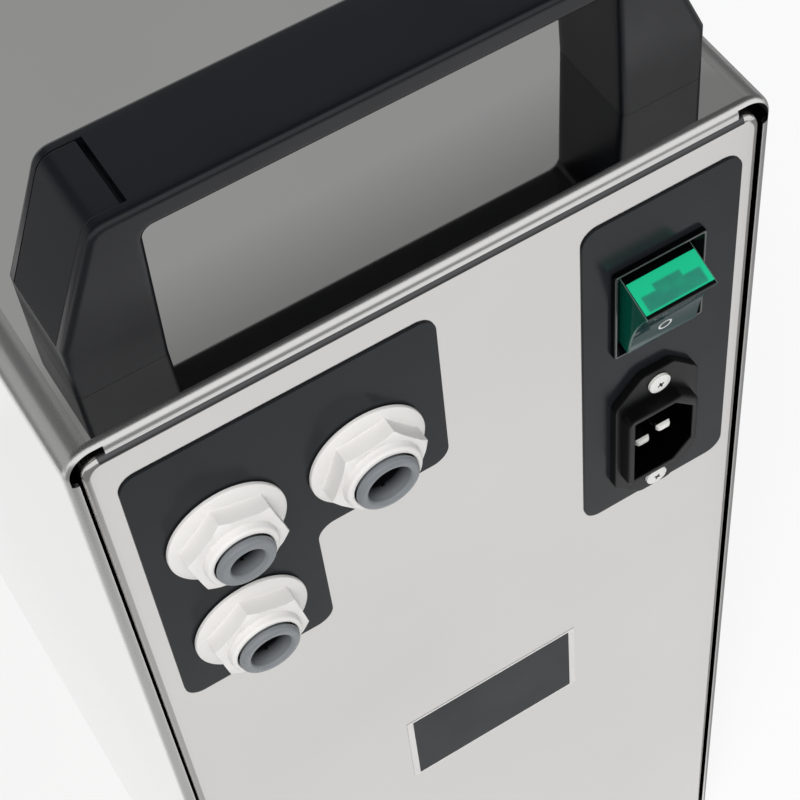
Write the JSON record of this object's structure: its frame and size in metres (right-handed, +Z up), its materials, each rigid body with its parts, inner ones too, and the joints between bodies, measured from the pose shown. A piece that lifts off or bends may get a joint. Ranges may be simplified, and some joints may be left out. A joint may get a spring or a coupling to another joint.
{
  "type": "water carbonator",
  "caption": "Under-counter water carbonator: sheet-steel case with a carrying handle, push-fit pipe fittings, a rocker switch and a mains inlet on one end panel.",
  "frame": {"origin": "middle of the bounding box's underside, level with the soles of the feet", "axes": "+Z up, -Y out of the connection panel, +X to the right of someone who faces it"},
  "size_m": [0.17, 0.3312, 0.4205],
  "materials": {
    "cover_steel": "polished sheet, close to a mirror on top",
    "panel_steel": "satin",
    "zinc_steel": "zinc plated",
    "polished_steel": "polished",
    "handle_plastic": "fine-grained",
    "black_plastic": "semi-matte",
    "label_foil": "matte foil",
    "white_plastic": "satin",
    "grey_plastic": "satin",
    "lit_green": "translucent gloss",
    "nickel": "nickel plated",
    "brass": "machined",
    "motor_paint": "semi-gloss",
    "pipe_plastic": "satin",
    "board_green": "lacquered",
    "rubber": "matte"
  },
  "bodies": {
    "case": {"outer_cover": "cover_steel", "connection_panel": "panel_steel", "front_panel": "panel_steel", "base_pan": "zinc_steel", "handle": "handle_plastic", "handle_cap_left": "handle_plastic", "handle_cap_right": "handle_plastic", "handle_screw_left": "zinc_steel", "handle_screw_right": "zinc_steel", "handle_backing_bar": "zinc_steel", "port_label": "label_foil", "power_label": "label_foil", "badge_plate": "label_foil", "switch_housing": "black_plastic", "switch_tab_lower": "nickel", "switch_tab_upper": "nickel", "inlet_socket": "black_plastic", "inlet_pin_line": "nickel", "inlet_pin_neutral": "nickel", "inlet_pin_earth": "nickel", "inlet_screw_upper": "nickel", "inlet_screw_lower": "nickel", "carbonation_tank": "polished_steel", "tank_stand": "black_plastic", "level_probe": "black_plastic", "relief_valve": "brass", "motor_body": "motor_paint", "pump_body": "brass", "pump_clamp": "polished_steel", "motor_cradle": "zinc_steel", "water_check_valve": "brass", "gas_check_valve": "brass", "soda_pipe": "pipe_plastic", "supply_pipe": "pipe_plastic", "pump_pipe": "pipe_plastic", "feed_pipe": "pipe_plastic", "gas_pipe": "pipe_plastic", "gas_feed_pipe": "pipe_plastic", "control_board": "board_green", "board_bracket": "zinc_steel", "foot_rear_left": "rubber", "foot_screw_rear_left": "zinc_steel", "foot_rear_right": "rubber", "foot_screw_rear_right": "zinc_steel", "foot_front_left": "rubber", "foot_screw_front_left": "zinc_steel", "foot_front_right": "rubber", "foot_screw_front_right": "zinc_steel", "soda_fitting": "white_plastic", "soda_nut": "white_plastic", "gas_fitting": "white_plastic", "gas_nut": "white_plastic", "water_fitting": "white_plastic", "water_nut": "white_plastic"},
    "rocker": {"switch_rocker": "lit_green"},
    "soda_release": {"soda_collet": "grey_plastic"},
    "gas_release": {"gas_collet": "grey_plastic"},
    "water_release": {"water_collet": "grey_plastic"},
    "drive_shaft": {"motor_shaft": "zinc_steel", "pump_rotor": "polished_steel"}
  },
  "joints": [
    {"name": "power_switch", "type": "hinge", "parent": "case", "child": "rocker", "pos_m": [0.0552, -0.152, 0.3298], "axis": [1, 0, 0], "range_deg": [-39, 0]},
    {"name": "soda_collet_slide", "type": "slide", "parent": "case", "child": "soda_release", "axis": [0, 1, 0], "range_m": [0, 0.0015]},
    {"name": "gas_collet_slide", "type": "slide", "parent": "case", "child": "gas_release", "axis": [0, 1, 0], "range_m": [0, 0.0015]},
    {"name": "water_collet_slide", "type": "slide", "parent": "case", "child": "water_release", "axis": [0, 1, 0], "range_m": [0, 0.0015]},
    {"name": "pump_drive", "type": "hinge", "parent": "case", "child": "drive_shaft", "pos_m": [0, -0.0584, 0.07645], "axis": [1, 0, 0], "continuous": true}
  ]
}
